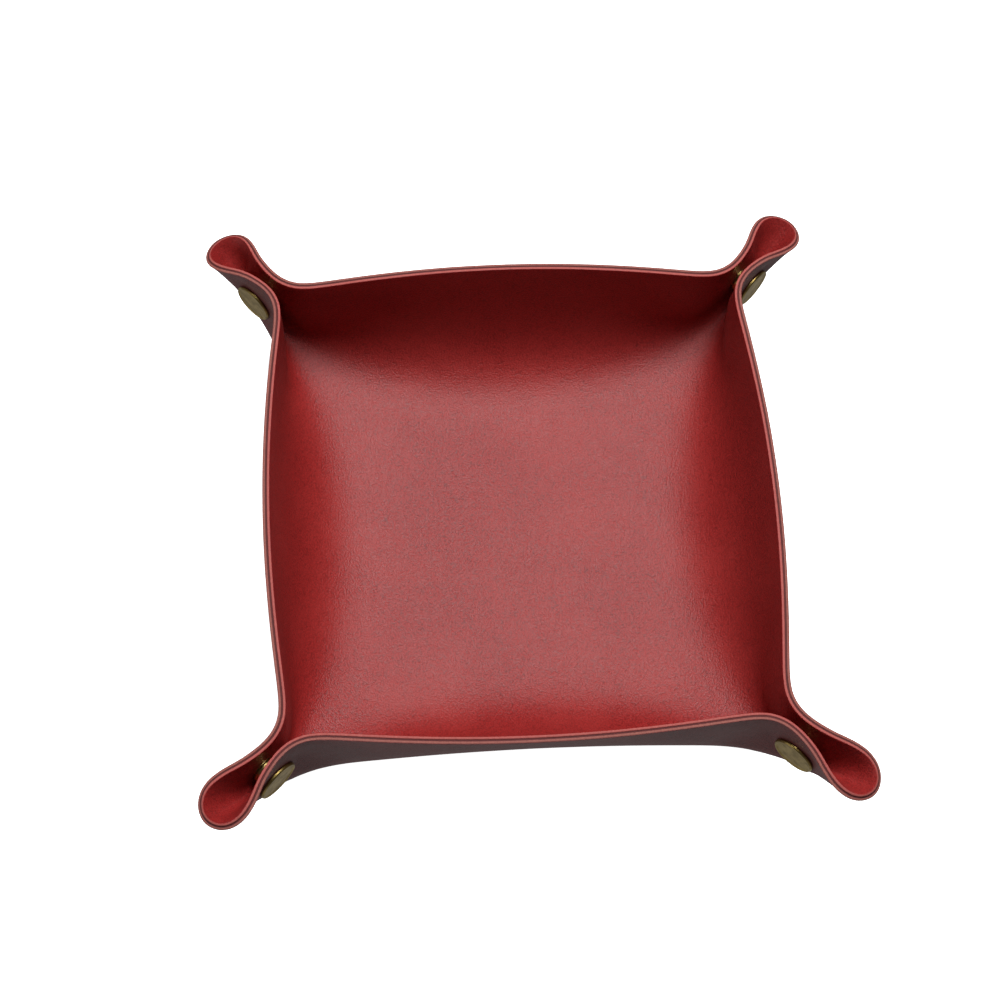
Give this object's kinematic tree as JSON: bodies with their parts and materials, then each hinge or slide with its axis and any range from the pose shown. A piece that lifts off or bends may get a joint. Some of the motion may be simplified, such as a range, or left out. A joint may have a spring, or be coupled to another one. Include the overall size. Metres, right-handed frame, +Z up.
{
  "type": "folding dice tray",
  "caption": "Square leather tray that folds up from a flat sheet, with its corners pinched into loops by metal snap fasteners.",
  "frame": {"origin": "under the middle of the floor, on the surface that the tray stands on", "axes": "+Z up out of the tray, X and Y parallel to its sides; the front wall faces -Y"},
  "size_m": [0.182, 0.182, 0.0443],
  "materials": {
    "leather_lining": "pebbled red",
    "leather_facing": "dark red brown",
    "antique_brass": "antique",
    "inner_brass": "satin"
  },
  "bodies": {
    "floor": {"floor_facing": "leather_facing", "floor_lining": "leather_lining"},
    "wall_back": {"wall_back_facing": "leather_facing", "wall_back_lining": "leather_lining"},
    "wall_left": {"wall_left_facing": "leather_facing", "wall_left_lining": "leather_lining"},
    "wall_front": {"wall_front_facing": "leather_facing", "wall_front_lining": "leather_lining"},
    "wall_right": {"wall_right_facing": "leather_facing", "wall_right_lining": "leather_lining"},
    "tab_back_right_back": {"tab_back_right_back_facing": "leather_facing", "tab_back_right_back_lining": "leather_lining", "snap_stud_back_right": "inner_brass", "snap_post_back_right": "antique_brass"},
    "ear_back_right_back": {"ear_back_right_back_facing": "leather_facing", "ear_back_right_back_lining": "leather_lining"},
    "tab_back_right_right": {"tab_back_right_right_facing": "leather_facing", "tab_back_right_right_lining": "leather_lining", "snap_cap_back_right": "antique_brass", "snap_socket_back_right": "inner_brass"},
    "ear_back_right_right": {"ear_back_right_right_facing": "leather_facing", "ear_back_right_right_lining": "leather_lining"},
    "tab_back_left_left": {"tab_back_left_left_facing": "leather_facing", "tab_back_left_left_lining": "leather_lining", "snap_cap_back_left": "antique_brass", "snap_socket_back_left": "inner_brass"},
    "ear_back_left_left": {"ear_back_left_left_facing": "leather_facing", "ear_back_left_left_lining": "leather_lining"},
    "tab_back_left_back": {"tab_back_left_back_facing": "leather_facing", "tab_back_left_back_lining": "leather_lining", "snap_stud_back_left": "inner_brass", "snap_post_back_left": "antique_brass"},
    "ear_back_left_back": {"ear_back_left_back_facing": "leather_facing", "ear_back_left_back_lining": "leather_lining"},
    "tab_front_left_front": {"tab_front_left_front_facing": "leather_facing", "tab_front_left_front_lining": "leather_lining", "snap_cap_front_left": "antique_brass", "snap_socket_front_left": "inner_brass"},
    "ear_front_left_front": {"ear_front_left_front_facing": "leather_facing", "ear_front_left_front_lining": "leather_lining"},
    "tab_front_left_left": {"tab_front_left_left_facing": "leather_facing", "tab_front_left_left_lining": "leather_lining", "snap_stud_front_left": "inner_brass", "snap_post_front_left": "antique_brass"},
    "ear_front_left_left": {"ear_front_left_left_facing": "leather_facing", "ear_front_left_left_lining": "leather_lining"},
    "tab_front_right_right": {"tab_front_right_right_facing": "leather_facing", "tab_front_right_right_lining": "leather_lining", "snap_stud_front_right": "inner_brass", "snap_post_front_right": "antique_brass"},
    "ear_front_right_right": {"ear_front_right_right_facing": "leather_facing", "ear_front_right_right_lining": "leather_lining"},
    "tab_front_right_front": {"tab_front_right_front_facing": "leather_facing", "tab_front_right_front_lining": "leather_lining", "snap_cap_front_right": "antique_brass", "snap_socket_front_right": "inner_brass"},
    "ear_front_right_front": {"ear_front_right_front_facing": "leather_facing", "ear_front_right_front_lining": "leather_lining"}
  },
  "joints": [
    {"name": "fold_back", "type": "hinge", "parent": "floor", "child": "wall_back", "pos_m": [0, 0.0656, 0.007], "axis": [-1, 0, 0], "range_deg": [0, 83.01]},
    {"name": "fold_left", "type": "hinge", "parent": "floor", "child": "wall_left", "pos_m": [-0.0656, 0, 0.007], "axis": [0, -1, 0], "range_deg": [0, 83.01]},
    {"name": "fold_front", "type": "hinge", "parent": "floor", "child": "wall_front", "pos_m": [0, -0.0656, 0.007], "axis": [1, 0, 0], "range_deg": [0, 83]},
    {"name": "fold_right", "type": "hinge", "parent": "floor", "child": "wall_right", "pos_m": [0.0656, 0, 0.007], "axis": [0, 1, 0], "range_deg": [0, 83.01]},
    {"name": "open_tab_back_right_back", "type": "hinge", "parent": "wall_back", "child": "tab_back_right_back", "pos_m": [0.06618, 0.06864, 0.0305], "axis": [0, 0, -1], "range_deg": [0, 45.01]},
    {"name": "open_ear_back_right_back", "type": "hinge", "parent": "tab_back_right_back", "child": "ear_back_right_back", "pos_m": [0.07416, 0.08056, 0.02809], "axis": [0.3658, 0.489, 0.7918], "range_deg": [0, 20.01]},
    {"name": "open_tab_back_right_right", "type": "hinge", "parent": "wall_right", "child": "tab_back_right_right", "pos_m": [0.06864, 0.06618, 0.0305], "axis": [0, 0, 1], "range_deg": [0, 45.01]},
    {"name": "open_ear_back_right_right", "type": "hinge", "parent": "tab_back_right_right", "child": "ear_back_right_right", "pos_m": [0.08056, 0.07416, 0.02809], "axis": [-0.489, -0.3658, -0.7918], "range_deg": [0, 20.01]},
    {"name": "open_tab_back_left_left", "type": "hinge", "parent": "wall_left", "child": "tab_back_left_left", "pos_m": [-0.06864, 0.06618, 0.0305], "axis": [0, 0, -1], "range_deg": [0, 45.01]},
    {"name": "open_ear_back_left_left", "type": "hinge", "parent": "tab_back_left_left", "child": "ear_back_left_left", "pos_m": [-0.08056, 0.07416, 0.02809], "axis": [-0.489, 0.3658, 0.7918], "range_deg": [0, 20.01]},
    {"name": "open_tab_back_left_back", "type": "hinge", "parent": "wall_back", "child": "tab_back_left_back", "pos_m": [-0.06618, 0.06864, 0.0305], "axis": [0, 0, 1], "range_deg": [0, 45.01]},
    {"name": "open_ear_back_left_back", "type": "hinge", "parent": "tab_back_left_back", "child": "ear_back_left_back", "pos_m": [-0.07416, 0.08056, 0.02809], "axis": [0.3658, -0.489, -0.7918], "range_deg": [0, 20.01]},
    {"name": "open_tab_front_left_front", "type": "hinge", "parent": "wall_front", "child": "tab_front_left_front", "pos_m": [-0.06618, -0.06864, 0.0305], "axis": [0, 0, -1], "range_deg": [0, 45.01]},
    {"name": "open_ear_front_left_front", "type": "hinge", "parent": "tab_front_left_front", "child": "ear_front_left_front", "pos_m": [-0.07416, -0.08056, 0.02809], "axis": [-0.3658, -0.489, 0.7918], "range_deg": [0, 20.01]},
    {"name": "open_tab_front_left_left", "type": "hinge", "parent": "wall_left", "child": "tab_front_left_left", "pos_m": [-0.06864, -0.06618, 0.0305], "axis": [0, 0, 1], "range_deg": [0, 45.01]},
    {"name": "open_ear_front_left_left", "type": "hinge", "parent": "tab_front_left_left", "child": "ear_front_left_left", "pos_m": [-0.08056, -0.07416, 0.02809], "axis": [0.489, 0.3658, -0.7918], "range_deg": [0, 20.01]},
    {"name": "open_tab_front_right_right", "type": "hinge", "parent": "wall_right", "child": "tab_front_right_right", "pos_m": [0.06864, -0.06618, 0.0305], "axis": [0, 0, -1], "range_deg": [0, 45.01]},
    {"name": "open_ear_front_right_right", "type": "hinge", "parent": "tab_front_right_right", "child": "ear_front_right_right", "pos_m": [0.08056, -0.07416, 0.02809], "axis": [0.489, -0.3658, 0.7918], "range_deg": [0, 20.01]},
    {"name": "open_tab_front_right_front", "type": "hinge", "parent": "wall_front", "child": "tab_front_right_front", "pos_m": [0.06618, -0.06864, 0.0305], "axis": [0, 0, 1], "range_deg": [0, 45.01]},
    {"name": "open_ear_front_right_front", "type": "hinge", "parent": "tab_front_right_front", "child": "ear_front_right_front", "pos_m": [0.07416, -0.08056, 0.02809], "axis": [-0.3658, 0.489, -0.7918], "range_deg": [0, 20.01]}
  ],
  "couplings": [
    {"joint": "fold_back", "follows": "fold_front", "ratio": 1},
    {"joint": "fold_left", "follows": "fold_front", "ratio": 1},
    {"joint": "fold_right", "follows": "fold_front", "ratio": 1},
    {"joint": "open_tab_back_right_back", "follows": "fold_front", "ratio": 0.54217},
    {"joint": "open_ear_back_right_back", "follows": "fold_front", "ratio": 0.24096},
    {"joint": "open_tab_back_right_right", "follows": "fold_front", "ratio": 0.54217},
    {"joint": "open_ear_back_right_right", "follows": "fold_front", "ratio": 0.24096},
    {"joint": "open_tab_back_left_left", "follows": "fold_front", "ratio": 0.54217},
    {"joint": "open_ear_back_left_left", "follows": "fold_front", "ratio": 0.24096},
    {"joint": "open_tab_back_left_back", "follows": "fold_front", "ratio": 0.54217},
    {"joint": "open_ear_back_left_back", "follows": "fold_front", "ratio": 0.24096},
    {"joint": "open_tab_front_left_front", "follows": "fold_front", "ratio": 0.54217},
    {"joint": "open_ear_front_left_front", "follows": "fold_front", "ratio": 0.24096},
    {"joint": "open_tab_front_left_left", "follows": "fold_front", "ratio": 0.54217},
    {"joint": "open_ear_front_left_left", "follows": "fold_front", "ratio": 0.24096},
    {"joint": "open_tab_front_right_right", "follows": "fold_front", "ratio": 0.54217},
    {"joint": "open_ear_front_right_right", "follows": "fold_front", "ratio": 0.24096},
    {"joint": "open_tab_front_right_front", "follows": "fold_front", "ratio": 0.54217},
    {"joint": "open_ear_front_right_front", "follows": "fold_front", "ratio": 0.24096}
  ]
}
